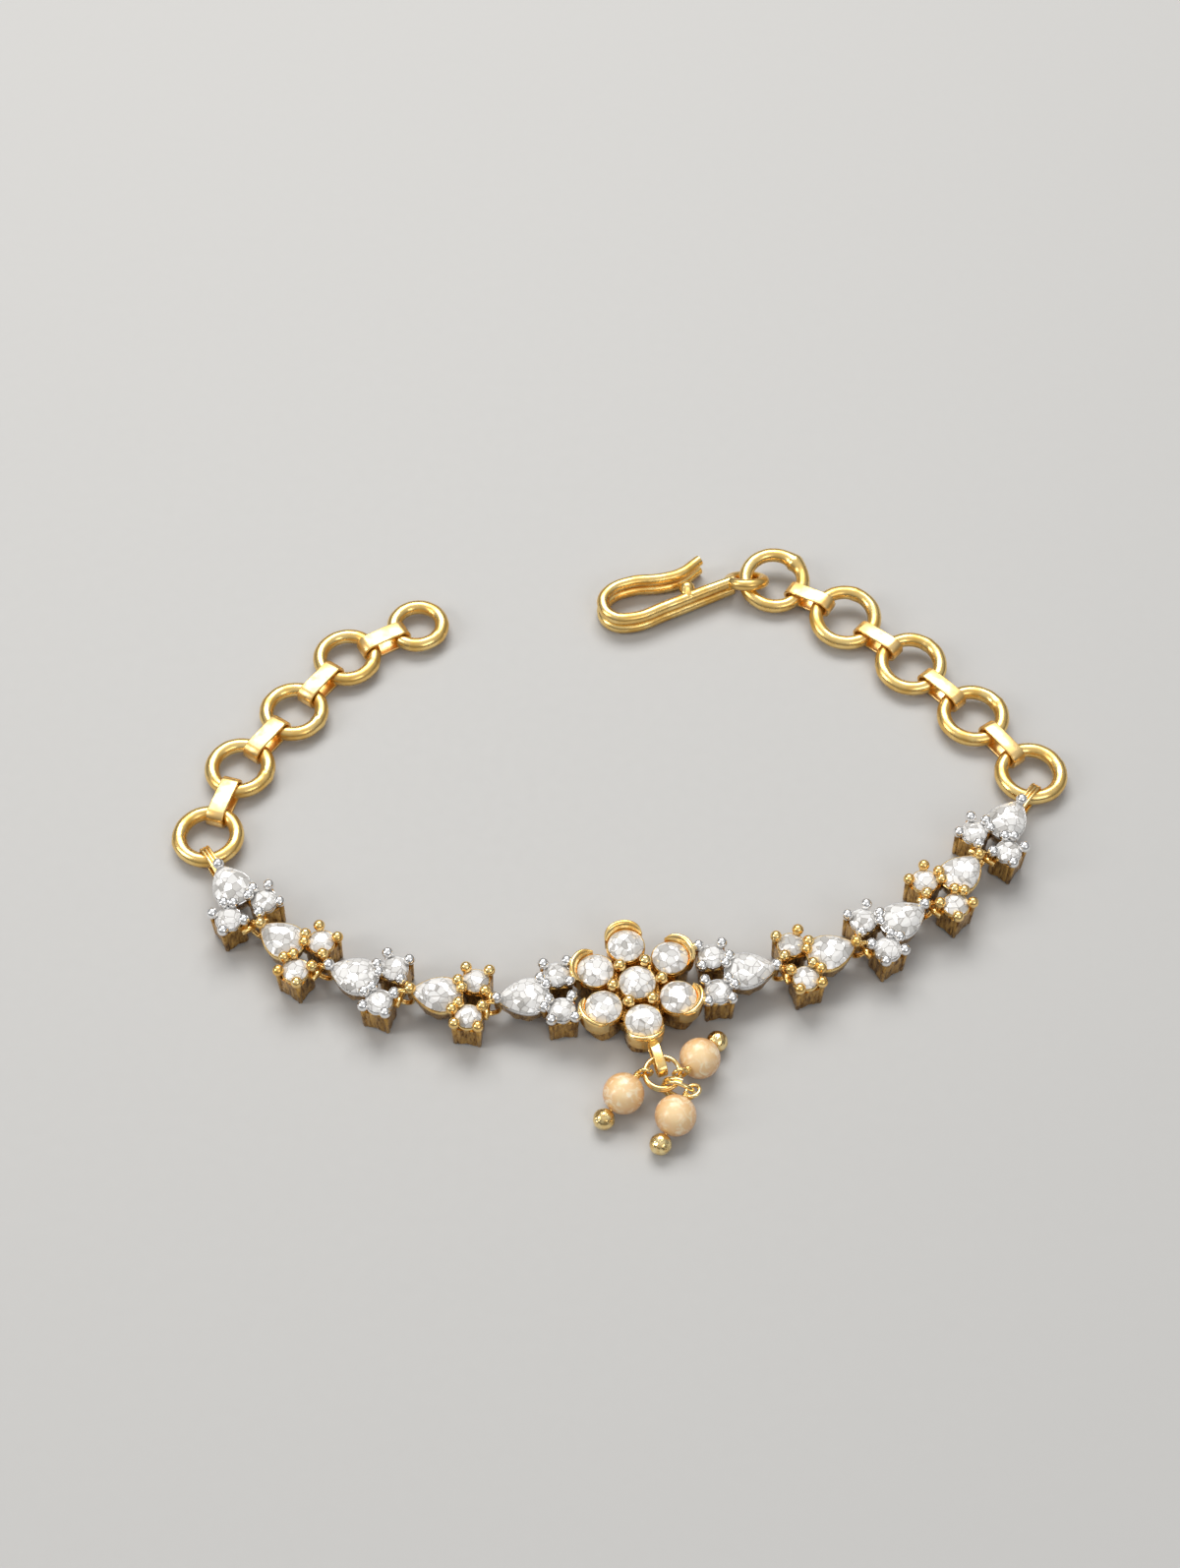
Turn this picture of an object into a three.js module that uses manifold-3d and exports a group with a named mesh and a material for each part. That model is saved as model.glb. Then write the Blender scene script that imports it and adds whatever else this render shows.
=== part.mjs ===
// Link bracelet with three-stone settings, a stone flower and three pearl drops, lying open.
// Millimetres, +Z up. The underside rests on Z = 0; the origin is the middle of the bounding box there.
import * as THREE from "three";
import { mergeVertices } from "three/addons/utils/BufferGeometryUtils.js";
import Module from "manifold-3d";

const manifold = await Module();
manifold.setup();

// ---- driving dimensions ----
const seatGap = 0.09; // between a stone and its seat
const linkGap = 0.19; // between a band and the ring wire above or below it
const endGap = 0.36; // between a band's bend and the ring wire in it

const chain = {
  wire: 1.4, // diameter of the ring wire
  strip: 0.3, // thickness of the bands that join the rings
  bandWidth: 1.8,
  spacing: 1.6, // clear distance between two neighbouring rings
};
chain.restHeight = chain.strip + linkGap + chain.wire / 2; // wire height with the bands on the ground

const stone = {
  girdle: 3.3,
  table: 4.1,
  tableScale: 0.6,
  culet: 1.9,
  culetScale: 0.25,
};
const pear = { length: 4.8, width: 3.7, shoulder: 0.55 }; // shoulder: centre of the round end
const roundRadius = 1.25; // small round stones of the links
const petalRadius = 1.75; // centre stone and petal stones
const wall = 0.26; // thickness of a collet's wall
const wallTop = stone.girdle;
const bead = { radius: 0.45, height: 3.95 }; // bead prongs

const link = {
  rounds: { x: -3.45, y: 1.95 }, // centres of the two round stones, from the pear's centre
  prongReach: 1.6, // from a round stone's centre to its prongs
  bar: { x: -4.95, half: 1.5, radius: 0.3, height: 2.4 },
  noseReach: 3.35, // pear's centre to the bar that its strip loop holds
  ringReach: 5.0, // pear's centre to the chain ring's wire, on the last link
  loopWidth: 0.55,
  loopStrip: 0.25,
  barPlay: 0.24, // end gap of a nose loop on the next bar
  slotPlay: 0.52, // end gap of the long loop on the chain ring
};

const flower = {
  petalRing: 4.2, // centre to petal centres
  firstPetal: 31, // degrees from the right-hand link
  petalLean: [2, 6, 3.5, 1.5, -1, -1], // each petal's own departure from an even spacing
  beadRing: 2.35,
  linkReach: 7.5, // centre to the middle of the soldered links' round stones
  crescentSpan: 130,
  crescentTop: 4.35,
  crescentWidth: 0.6,
};

// How the bracelet lies. Angles are seen from above, in degrees from +X, and run outward from the flower;
// pull is how far each bar joint is drawn out, or pushed together where it is negative.
const sides = {
  left: {
    linkAngles: [188, 171.2, 160.5, 144.6, 122.2],
    pull: 0.04,
    rings: [
      { angle: 100, outer: 7.2, height: chain.restHeight, tilt: 0 },
      { angle: 73.6, outer: 7.2, height: chain.restHeight, tilt: 0 },
      { angle: 55.3, outer: 7.2, height: chain.restHeight, tilt: 0 },
      { angle: 54.4, outer: 7.2, height: chain.restHeight, tilt: 0 },
      { angle: 30.5, outer: 6.6, height: chain.restHeight, tilt: 0 },
    ],
  },
  right: {
    linkAngles: [7.5, 19.1, 33, 45.7, 54.2],
    pull: -0.1,
    rings: [
      { angle: 82, outer: 7.4, height: chain.restHeight + 0.02, tilt: 0 },
      { angle: 125.5, outer: 7.4, height: 1.3, tilt: 1 },
      { angle: 131.5, outer: 7.4, height: 1.43, tilt: 5 },
      { angle: 136.7, outer: 7.4, height: 1.6, tilt: 9 },
      { angle: 145.6, outer: 7.4, height: 1.7, tilt: 12 },
    ],
  },
};

const hook = {
  wire: 1.3,
  eyeWire: 1.0,
  eyeRadius: 1.85,
  eyeTilt: -36, // degrees about X, near side up
  eyeHeight: 1.64,
  low: 0.65, // height of the lower wire
  high: 2.11, // height of the upper wire
  knob: { x: -6.5, y: -1.5, radius: 0.75 },
};
// Middle line of the hook seen from above, from the eye's centre: out along the near arm, round and back.
const hookLine = [
  { x: -1.5, y: -0.35 },
  { x: -4.4, y: -1.75 },
  { x: -8.7, y: -3.9 },
  { x: -12.6, y: -5.6 },
  { x: -14.6, y: -5.35 },
  { x: -15.6, y: -3.6 },
  { x: -15.0, y: -1.9 },
  { x: -12.9, y: -0.65 },
  { x: -9.0, y: -0.05 },
  { x: -7.2, y: 0.6 },
  { x: -5.1, y: 2.5 },
];

// The drops lie on the ground. x and y are the pearl's centre from the flower's; angle is the way from
// the loop to the pearl; bend turns the loop sideways from its pin and roll turns it about the pin.
const drops = {
  pearl: 1.95, // radii
  ball: 1.05,
  pin: 0.17,
  bore: 0.33,
  loop: 0.64,
  neck: 0.42, // pin showing between the pearl and its loop
  rows: [
    { name: "left", x: -1.38, y: -11.04, angle: 230.5, roll: -11.9, bend: -46.3, loopDrop: 0.11 },
    { name: "middle", x: 3.415, y: -13.306, angle: 240.4, roll: 63.3, bend: -42, loopDrop: -0.01 },
    { name: "right", x: 5.815, y: -7.358, angle: 52.8, roll: -9, bend: -38.9, loopDrop: 0.13 },
  ],
};
// lean tips a jump ring up from lying flat, about the line that turn gives.
const jumpRings = [
  { name: "jump_ring_upper", x: 2.25, y: -9.29, z: 2.59, radius: 1.65, wire: 0.34, lean: 0, turn: 1.4 },
  { name: "jump_ring_lower", x: 3.77, y: -10.74, z: 2.06, radius: 1.54, wire: 0.34, lean: 87.8, turn: -20.7 },
];
const bail = { x: 1.25, y: -5.6, angle: 286, length: 4.0, width: 0.95, thickness: 0.3, height: 1.9, z: 2.45 };

// ---- small helpers ----
const radians = THREE.MathUtils.degToRad;

function direction(degrees) {
  return new THREE.Vector3(Math.cos(radians(degrees)), Math.sin(radians(degrees)), 0);
}

// turn is about Z and comes after tilt, which is about X.
function placed(x, y, z, turn = 0, tilt = 0) {
  const rotation = new THREE.Quaternion().setFromEuler(new THREE.Euler(radians(tilt), 0, radians(turn), "ZXY"));
  return new THREE.Matrix4().compose(new THREE.Vector3(x, y, z), rotation, new THREE.Vector3(1, 1, 1));
}

function solid(geometry, matrix = new THREE.Matrix4()) {
  const bare = geometry.clone().applyMatrix4(matrix);
  bare.deleteAttribute("normal");
  bare.deleteAttribute("uv");
  const merged = mergeVertices(bare, 1e-4);
  const corners = [...merged.index.array];
  const kept = [];
  for (let i = 0; i < corners.length; i += 3) {
    const [a, b, c] = corners.slice(i, i + 3);
    if (a !== b && b !== c && c !== a) kept.push(a, b, c);
  }
  const vertProperties = new Float32Array(merged.attributes.position.array);
  return new manifold.Manifold(new manifold.Mesh({ numProp: 3, vertProperties, triVerts: new Uint32Array(kept) }));
}

function joined(solids) {
  return solids.reduce((whole, next) => whole.add(next));
}

function geometryOf(body) {
  const mesh = body.getMesh();
  const geometry = new THREE.BufferGeometry();
  geometry.setAttribute("position", new THREE.BufferAttribute(new Float32Array(mesh.vertProperties), 3));
  geometry.setIndex(new THREE.BufferAttribute(new Uint32Array(mesh.triVerts), 1));
  geometry.computeVertexNormals();
  return geometry;
}

// A closed body through copies of one convex outline, each at its own height, scale and outward offset.
function loft(outline, levels) {
  const count = outline.length;
  const positions = [];
  const faces = [];
  for (const { z, scale, grow = 0 } of levels) {
    for (const point of outline) {
      const length = point.length();
      const reach = (length * scale + grow) / length;
      positions.push(point.x * reach, point.y * reach, z);
    }
  }
  for (let level = 0; level + 1 < levels.length; level++) {
    for (let i = 0; i < count; i++) {
      const a = level * count + i;
      const b = level * count + ((i + 1) % count);
      faces.push(a, b, b + count, a, b + count, a + count);
    }
  }
  const top = (levels.length - 1) * count;
  for (let i = 1; i + 1 < count; i++) {
    faces.push(0, i + 1, i, top, top + i, top + i + 1);
  }
  const geometry = new THREE.BufferGeometry();
  geometry.setAttribute("position", new THREE.Float32BufferAttribute(positions, 3));
  geometry.setIndex(faces);
  return geometry;
}

function lathe(profile, segments) {
  const points = profile.map(([radius, height]) => new THREE.Vector2(radius, height));
  return new THREE.LatheGeometry(points, segments).rotateX(Math.PI / 2);
}

// ---- outlines ----
function pearOutline() {
  const radius = pear.width / 2;
  const tip = pear.length / 2;
  const lean = radians(66);
  const shape = new THREE.Shape();
  const start = { x: -pear.shoulder + radius * Math.cos(lean), y: radius * Math.sin(lean) };
  shape.moveTo(start.x, start.y);
  shape.absarc(-pear.shoulder, 0, radius, lean, 2 * Math.PI - lean, false);
  shape.quadraticCurveTo(1.35, -1.1, tip, 0);
  shape.quadraticCurveTo(1.35, 1.1, start.x, start.y);
  const points = shape.getPoints(3);
  points.pop();
  return points;
}

function circleOutline(radius, count) {
  return Array.from({ length: count }, (_, i) => {
    const angle = (2 * Math.PI * i) / count;
    return new THREE.Vector2(radius * Math.cos(angle), radius * Math.sin(angle));
  });
}

// ---- stones and collets ----
function stoneLevels(grow = 0) {
  return [
    { z: stone.culet - grow, scale: stone.culetScale, grow },
    { z: stone.girdle, scale: 1, grow },
    { z: stone.table + grow, scale: stone.tableScale, grow },
  ];
}

function colletWall(outline) {
  return loft(outline, [
    { z: 0, scale: 1, grow: wall - 0.14 },
    { z: wallTop, scale: 1, grow: wall },
  ]);
}

// A small round stone and its collet as one body.
function filledCollet(outline) {
  return loft(outline, [
    { z: 0, scale: 1, grow: wall - 0.14 },
    { z: wallTop, scale: 1, grow: wall },
    { z: stone.table - 0.1, scale: 0.6 },
  ]);
}

// The pear's basket draws in towards its foot.
function basketWall(outline) {
  return loft(outline, [
    { z: 0.2, scale: 0.8, grow: 0 },
    { z: wallTop, scale: 1, grow: wall },
  ]);
}

// The seat is cut as the stone's own shape plus the gap, and its bore runs down through the back.
function seatCut(outline, boreRadius) {
  const seat = solid(loft(outline, stoneLevels(seatGap)));
  if (!boreRadius) return seat;
  const bore = new THREE.CylinderGeometry(boreRadius, boreRadius, 3.2, 6).rotateX(Math.PI / 2);
  return seat.add(solid(bore, placed(0, 0, 0.7)));
}

function prong(x, y, size = 1) {
  const radius = bead.radius * size;
  const profile = [
    [0, 1.7],
    [0.28, 2.6],
    [radius, bead.height],
    [0, bead.height + 0.4],
  ];
  return solid(lathe(profile, 4), placed(x, y, 0, 45));
}

// ---- strip loops: bands, nose loops and the bail, long way along X ----
function stripLoop({ length, height, thickness, width }) {
  const radius = 0.48 * Math.min(length, height);
  const shape = new THREE.Shape(roundedBox(length, height, radius));
  const hole = roundedBox(length - 2 * thickness, height - 2 * thickness, radius - thickness);
  shape.holes.push(new THREE.Path(hole));
  const strip = new THREE.ExtrudeGeometry(shape, { depth: width, bevelEnabled: false });
  return strip.translate(0, 0, -width / 2).rotateX(Math.PI / 2);
}

function roundedBox(length, height, radius) {
  const corners = [[1, -1], [1, 1], [-1, 1], [-1, -1]];
  return corners.flatMap(([sideX, sideY], corner) => {
    const centre = new THREE.Vector2(sideX * (length / 2 - radius), sideY * (height / 2 - radius));
    return [0, 45, 90].map((turn) => {
      const angle = radians(90 * corner - 90 + turn);
      return new THREE.Vector2(centre.x + radius * Math.cos(angle), centre.y + radius * Math.sin(angle));
    });
  });
}

// ---- one three-stone setting, pear's centre at the origin and its point towards +X ----
function linkSetting({ noseLoop = null, bar = true }) {
  const outline = pearOutline();
  const round = circleOutline(roundRadius, 8);
  const { x, y } = link.rounds;
  const bodies = [solid(basketWall(outline)), prong(pear.length / 2 + 0.12, 0, 1.15)];
  const reach = link.prongReach * Math.SQRT1_2;
  for (const side of [-1, 1]) {
    const place = placed(x, side * y, 0);
    bodies.push(solid(filledCollet(round), place));
    for (const [alongX, alongY] of [[1, 1], [1, -1], [-1, 1], [-1, -1]]) {
      bodies.push(prong(x + alongX * reach, side * y + alongY * reach));
    }
    bodies.push(prong(-pear.shoulder - 1.26, side * 1.6));
  }
  if (bar) {
    const cross = new THREE.CylinderGeometry(link.bar.radius, link.bar.radius, 2 * link.bar.half, 6);
    bodies.push(solid(cross, placed(link.bar.x, 0, link.bar.height)));
  }
  if (noseLoop) {
    const strip = stripLoop({ ...noseLoop, thickness: link.loopStrip, width: link.loopWidth });
    bodies.push(solid(strip, placed(noseLoop.x, 0, noseLoop.z)));
  }
  const bore = new THREE.CylinderGeometry(0.8, 0.8, 3.2, 6).rotateX(Math.PI / 2);
  let body = joined(bodies).subtract(seatCut(outline, 1.1));
  for (const side of [-1, 1]) {
    body = body.subtract(solid(bore, placed(x, side * y, 0.9)));
  }
  return body;
}

// Strip loop round the next setting's bar: from inside the basket's wall to just past the bar.
function barLoop() {
  const far = link.noseReach + link.bar.radius + link.barPlay + link.loopStrip;
  const near = pear.length / 2 - 0.25;
  return { x: (near + far) / 2, z: 2.05, length: far - near, height: 2.6 };
}

// Strip loop round the first chain ring's wire.
function ringLoop() {
  const far = link.ringReach + chain.wire / 2 + link.slotPlay + link.loopStrip;
  const near = pear.length / 2 - 0.6;
  const height = chain.wire + 2 * (linkGap + link.loopStrip);
  return { x: (near + far) / 2, z: chain.restHeight, length: far - near, height };
}

// ---- flower ----
function crescent() {
  const inner = petalRadius + seatGap + 0.02;
  const outer = inner + flower.crescentWidth;
  const half = radians(flower.crescentSpan / 2);
  const shape = new THREE.Shape();
  shape.absarc(0, 0, outer, -half, half, false);
  shape.absarc(0, 0, inner, half, -half, true);
  const height = flower.crescentTop - 0.6;
  return new THREE.ExtrudeGeometry(shape, { depth: height, curveSegments: 5, bevelEnabled: false }).translate(0, 0, 0.6);
}

function petalPlaces() {
  return Array.from({ length: 6 }, (_, i) => {
    const angle = sides.right.linkAngles[0] + flower.firstPetal + 60 * i + flower.petalLean[i];
    const at = direction(angle).multiplyScalar(flower.petalRing);
    return { angle, matrix: placed(at.x, at.y, 0, angle) };
  });
}

function flowerSetting() {
  const outline = circleOutline(petalRadius, 12);
  const web = new THREE.CylinderGeometry(3.6, 3.6, 2.0, 12).rotateX(Math.PI / 2);
  const bodies = [solid(web, placed(0, 0, 1.0)), solid(colletWall(outline))];
  const cuts = [seatCut(outline)];
  for (const { angle, matrix } of petalPlaces()) {
    bodies.push(solid(colletWall(outline), matrix));
    bodies.push(solid(crescent(), matrix));
    const at = direction(angle + 30).multiplyScalar(flower.beadRing);
    bodies.push(prong(at.x, at.y, 1.08));
    cuts.push(seatCut(outline, 1.1).transform(matrix.elements));
  }
  return { bodies, cuts };
}

function bailLoop() {
  const at = direction(bail.angle).multiplyScalar(bail.length / 2);
  return solid(stripLoop(bail), placed(bail.x + at.x, bail.y + at.y, bail.z, bail.angle));
}

function centreSetting() {
  const { bodies, cuts } = flowerSetting();
  for (const side of Object.values(sides)) {
    const [angle] = side.linkAngles;
    const at = direction(angle).multiplyScalar(flower.linkReach - link.rounds.x);
    const place = placed(at.x, at.y, 0, angle);
    const setting = linkSetting({ noseLoop: barLoop(), bar: false });
    bodies.push(setting.transform(place.elements));
    for (const hand of [-1, 1]) {
      const solder = new THREE.BoxGeometry(1.2, 0.9, 1.5);
      solder.translate(link.rounds.x - 1.85, hand * 2.0, 1.4);
      bodies.push(solid(solder, place));
    }
  }
  bodies.push(bailLoop());
  return cuts.reduce((body, cut) => body.subtract(cut), joined(bodies));
}

// ---- chain ----
function ringGeometry(outer) {
  return new THREE.TorusGeometry((outer - chain.wire) / 2, chain.wire / 2, 6, 16);
}

// Where a side's links and rings lie, worked outward from the flower.
function layOut(side) {
  const links = [];
  let at = direction(side.linkAngles[0]).multiplyScalar(flower.linkReach - link.rounds.x);
  side.linkAngles.forEach((angle, i) => {
    if (i > 0) at = at.clone().addScaledVector(direction(angle), -link.bar.x);
    links.push({ angle, at });
    at = at.clone().addScaledVector(direction(angle), link.noseReach + side.pull);
  });
  const last = links[links.length - 1];
  at = last.at.clone().addScaledVector(direction(last.angle), link.ringReach);
  const rings = [];
  side.rings.forEach((ring, i) => {
    const radius = (ring.outer - chain.wire) / 2;
    const step = i === 0 ? radius : rings[i - 1].radius + chain.wire + chain.spacing + radius;
    at = at.clone().addScaledVector(direction(ring.angle), step);
    at.z = ring.height;
    rings.push({ ...ring, radius, at });
  });
  return { links, rings };
}

function ringPoint(ring, angle) {
  const flat = direction(angle).multiplyScalar(ring.radius);
  const lift = flat.y * Math.sin(radians(ring.tilt));
  return ring.at.clone().add(new THREE.Vector3(flat.x, flat.y * Math.cos(radians(ring.tilt)), lift));
}

function ringTangent(ring, angle) {
  const flat = direction(angle + 90);
  const tilt = radians(ring.tilt);
  return new THREE.Vector3(flat.x, flat.y * Math.cos(tilt), flat.y * Math.sin(tilt));
}

// A band lies along the line between the two wires that it holds and rolls with them.
function bandMatrix(from, to) {
  const a = ringPoint(from, to.angle);
  const b = ringPoint(to, to.angle + 180);
  const along = b.clone().sub(a).normalize();
  const across = ringTangent(from, to.angle).sub(ringTangent(to, to.angle + 180));
  across.addScaledVector(along, -across.dot(along)).normalize();
  const up = along.clone().cross(across);
  return new THREE.Matrix4().makeBasis(along, across, up).setPosition(a.add(b).multiplyScalar(0.5));
}

function bandGeometry() {
  return stripLoop({
    length: chain.spacing + 2 * (chain.wire + endGap + chain.strip),
    height: chain.wire + 2 * (linkGap + chain.strip),
    thickness: chain.strip,
    width: chain.bandWidth,
  });
}

// ---- hook ----
// Two round wires, one above the other, joined by solder. The path's frames put the section's x along Z.
function doubleWireSection() {
  const half = (hook.high - hook.low) / 2;
  const radius = hook.wire / 2;
  const shape = new THREE.Shape();
  const points = [1, -1].flatMap((side) =>
    [-45, 0, 45, 90, 135, 180, 225].map((degrees) => {
      const angle = radians(degrees) + (side < 0 ? Math.PI : 0);
      return new THREE.Vector2(side * half + radius * Math.sin(angle), radius * Math.cos(angle));
    }),
  );
  return shape.setFromPoints(points);
}

function hookSolid() {
  const middle = (hook.low + hook.high) / 2;
  const line = hookLine.map(({ x, y }) => new THREE.Vector3(x, y, middle));
  const path = new THREE.CatmullRomCurve3(line);
  const arm = new THREE.ExtrudeGeometry(doubleWireSection(), { steps: 20, extrudePath: path });
  const eye = new THREE.TorusGeometry(hook.eyeRadius, hook.eyeWire / 2, 6, 14);
  const knob = new THREE.SphereGeometry(hook.knob.radius, 7, 5);
  return joined([
    solid(arm),
    solid(eye, placed(0, 0, hook.eyeHeight, 0, hook.eyeTilt)),
    solid(knob, placed(hook.knob.x, hook.knob.y, hook.high)),
  ]);
}

// ---- jump rings: two turns of wire side by side, closed into one ----
function jumpRingSolid({ radius, wire }) {
  const half = wire / 2;
  const profile = [
    [radius - half, -half],
    [radius, -wire],
    [radius + half, -half],
    [radius + half, half],
    [radius, wire],
    [radius - half, half],
    [radius - half, -half],
  ];
  return solid(lathe(profile, 16));
}

// ---- drops: pin along X from the ball through the pearl to the turned loop ----
function headpinSolid({ roll, bend, loopDrop }) {
  const pinEnd = drops.pearl + drops.neck;
  const ballAt = drops.pearl + drops.ball;
  const pin = new THREE.CylinderGeometry(drops.pin, drops.pin, pinEnd + ballAt, 5).rotateZ(Math.PI / 2);
  const ball = new THREE.SphereGeometry(drops.ball, 8, 5);
  const loop = new THREE.TorusGeometry(drops.loop, drops.pin, 5, 10).rotateX(Math.PI / 2);
  loop.translate(drops.loop - 0.1, 0, -loopDrop).rotateX(radians(roll)).rotateZ(radians(bend));
  loop.translate(pinEnd, 0, 0);
  return joined([
    solid(pin, placed((pinEnd - ballAt) / 2, 0, 0)),
    solid(ball, placed(-ballAt, 0, 0)),
    solid(loop),
  ]);
}

function pearlGeometry() {
  const profile = [];
  const edge = Math.asin(drops.bore / drops.pearl);
  for (let i = 0; i <= 6; i++) {
    const angle = edge + ((Math.PI - 2 * edge) * i) / 6;
    profile.push(new THREE.Vector2(drops.pearl * Math.sin(angle), -drops.pearl * Math.cos(angle)));
  }
  profile.push(profile[0].clone());
  return new THREE.LatheGeometry(profile, 10).rotateZ(-Math.PI / 2);
}

// Pearl and ball both touch the ground, so the pin climbs from the ball towards the loop.
function dropMatrix({ x, y, angle }) {
  const climb = Math.asin((drops.pearl - drops.ball) / (drops.pearl + drops.ball));
  const rotation = new THREE.Quaternion()
    .setFromAxisAngle(new THREE.Vector3(0, 0, 1), radians(angle + 180))
    .multiply(new THREE.Quaternion().setFromAxisAngle(new THREE.Vector3(0, 1, 0), -climb));
  return new THREE.Matrix4().compose(new THREE.Vector3(x, y, drops.pearl), rotation, new THREE.Vector3(1, 1, 1));
}

// ---- finishes ----
const gold = { color: 0xdca84f, roughness: 0.22, metalness: 1 };
const clearStone = { color: 0xf2f4f6, roughness: 0.05, metalness: 0 };
const nacre = { color: 0xe9cfa4, roughness: 0.3, metalness: 0 };

function piece(name, geometry, finish, matrix = new THREE.Matrix4()) {
  const mesh = new THREE.Mesh(geometry, new THREE.MeshStandardMaterial(finish));
  mesh.name = name;
  mesh.applyMatrix4(matrix);
  return mesh;
}

// ---- assembly ----
const bracelet = new THREE.Group();
const pearGeometry = loft(pearOutline(), stoneLevels());
const petalGeometry = loft(circleOutline(petalRadius, 12), stoneLevels());

bracelet.add(piece("centre_setting", geometryOf(centreSetting()), gold));
bracelet.add(piece("centre_stone", petalGeometry, clearStone));
petalPlaces().forEach(({ matrix }, i) => {
  bracelet.add(piece(`petal_stone_${i + 1}`, petalGeometry, clearStone, matrix));
});

for (const [sideName, side] of Object.entries(sides)) {
  const { links, rings } = layOut(side);
  links.forEach(({ angle, at }, i) => {
    const placedLink = new THREE.Group();
    placedLink.position.copy(at);
    placedLink.rotation.z = radians(angle);
    placedLink.add(piece(`${sideName}_pear_${i + 1}`, pearGeometry, clearStone));
    if (i > 0) {
      const noseLoop = i === links.length - 1 ? ringLoop() : barLoop();
      const setting = geometryOf(linkSetting({ noseLoop }));
      placedLink.add(piece(`${sideName}_setting_${i + 1}`, setting, gold));
    }
    bracelet.add(placedLink);
  });
  rings.forEach((ring, i) => {
    const matrix = placed(ring.at.x, ring.at.y, ring.at.z, 0, ring.tilt);
    bracelet.add(piece(`${sideName}_ring_${i + 1}`, ringGeometry(ring.outer), gold, matrix));
    if (i > 0) {
      const band = bandMatrix(rings[i - 1], ring);
      bracelet.add(piece(`${sideName}_band_${i}`, bandGeometry(), gold, band));
    }
  });
  if (sideName === "right") {
    const eye = ringPoint(rings[rings.length - 1], 180);
    bracelet.add(piece("hook", geometryOf(hookSolid()), gold, placed(eye.x, eye.y, 0)));
  }
}

for (const ring of jumpRings) {
  const place = placed(ring.x, ring.y, ring.z, ring.turn, ring.lean);
  bracelet.add(piece(ring.name, geometryOf(jumpRingSolid(ring)), gold, place));
}
for (const row of drops.rows) {
  bracelet.add(piece(`headpin_${row.name}`, geometryOf(headpinSolid(row)), gold, dropMatrix(row)));
  bracelet.add(piece(`pearl_${row.name}`, pearlGeometry(), nacre, dropMatrix(row)));
}

bracelet.updateMatrixWorld(true);
const box = new THREE.Box3().setFromObject(bracelet, true);
const middle = box.getCenter(new THREE.Vector3());
bracelet.position.set(-middle.x, -middle.y, -box.min.z);

export default bracelet;
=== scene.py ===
import math

import bmesh
import bpy
import numpy as np
from mathutils import Matrix, Vector


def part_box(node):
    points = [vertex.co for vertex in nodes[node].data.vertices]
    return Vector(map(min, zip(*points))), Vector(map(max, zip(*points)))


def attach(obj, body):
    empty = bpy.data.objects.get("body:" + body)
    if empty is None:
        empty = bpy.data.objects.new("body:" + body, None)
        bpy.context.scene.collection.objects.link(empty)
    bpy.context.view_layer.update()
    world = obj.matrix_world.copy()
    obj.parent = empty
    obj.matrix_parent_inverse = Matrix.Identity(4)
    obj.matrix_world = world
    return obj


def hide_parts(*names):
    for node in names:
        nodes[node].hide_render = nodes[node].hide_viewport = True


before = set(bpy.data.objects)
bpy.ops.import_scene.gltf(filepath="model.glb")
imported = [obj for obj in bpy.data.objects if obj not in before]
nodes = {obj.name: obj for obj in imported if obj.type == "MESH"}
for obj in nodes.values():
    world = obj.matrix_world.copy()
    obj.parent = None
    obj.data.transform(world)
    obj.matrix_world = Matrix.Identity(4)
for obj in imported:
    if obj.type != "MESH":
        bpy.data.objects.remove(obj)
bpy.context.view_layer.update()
print("frame loaded:", len(nodes), "parts")

# Pieces are drawn in millimetres round the origin; place() carries a copy into the frame, in metres.
millimetre = 0.001
hair = 0.001  # how near two places are, in millimetres, to count as one


def clearSelection():
    if bpy.context.mode != "OBJECT":
        bpy.ops.object.mode_set(mode="OBJECT")
    bpy.ops.object.select_all(action="DESELECT")


def hold(piece):
    clearSelection()
    piece.select_set(True)
    bpy.context.view_layer.objects.active = piece


def edit(piece=None):
    if piece:
        hold(piece)
    bpy.ops.object.mode_set(mode="EDIT")
    bpy.ops.mesh.select_mode(type="VERT")
    bpy.ops.mesh.select_all(action="SELECT")


def pick(test):
    # in edit mode: selects the vertices whose place passes the test
    data = bpy.context.object.data
    mesh = bmesh.from_edit_mesh(data)
    bpy.ops.mesh.select_all(action="DESELECT")
    for vert in mesh.verts:
        vert.select = test(vert.co)
    mesh.select_flush_mode()
    bmesh.update_edit_mesh(data)


def reshape(change, onlyPicked=False):
    # in edit mode: moves each vertex to change(its place)
    data = bpy.context.object.data
    mesh = bmesh.from_edit_mesh(data)
    for vert in mesh.verts:
        if vert.select or not onlyPicked:
            vert.co = change(vert.co)
    bmesh.update_edit_mesh(data)


def closeUp():
    # in edit mode: merges what meets and turns the faces outward
    bpy.ops.mesh.select_all(action="SELECT")
    bpy.ops.mesh.remove_doubles(threshold=hair / 2)
    bpy.ops.mesh.normals_make_consistent(inside=False)
    bpy.ops.object.mode_set(mode="OBJECT")
    return bpy.context.object


def modify(piece, kind, **settings):
    hold(piece)
    modifier = piece.modifiers.new(kind.title(), kind)
    for name, value in settings.items():
        setattr(modifier, name, value)
    bpy.ops.object.modifier_apply(modifier=modifier.name)
    return piece


def soften(piece, degrees):
    hold(piece)
    bpy.ops.object.shade_smooth_by_angle(angle=math.radians(degrees))
    return piece


def bevelled(piece, width, segments, degrees):
    # rounds the sharp edges, then softens what turns by less than so many degrees
    modify(piece, "BEVEL", width=width, segments=segments, limit_method="ANGLE")
    return soften(piece, degrees)


def settle():
    # writes a new primitive's place and turn into its mesh
    bpy.ops.object.transform_apply(location=True, rotation=True, scale=True)
    return bpy.context.object


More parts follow.
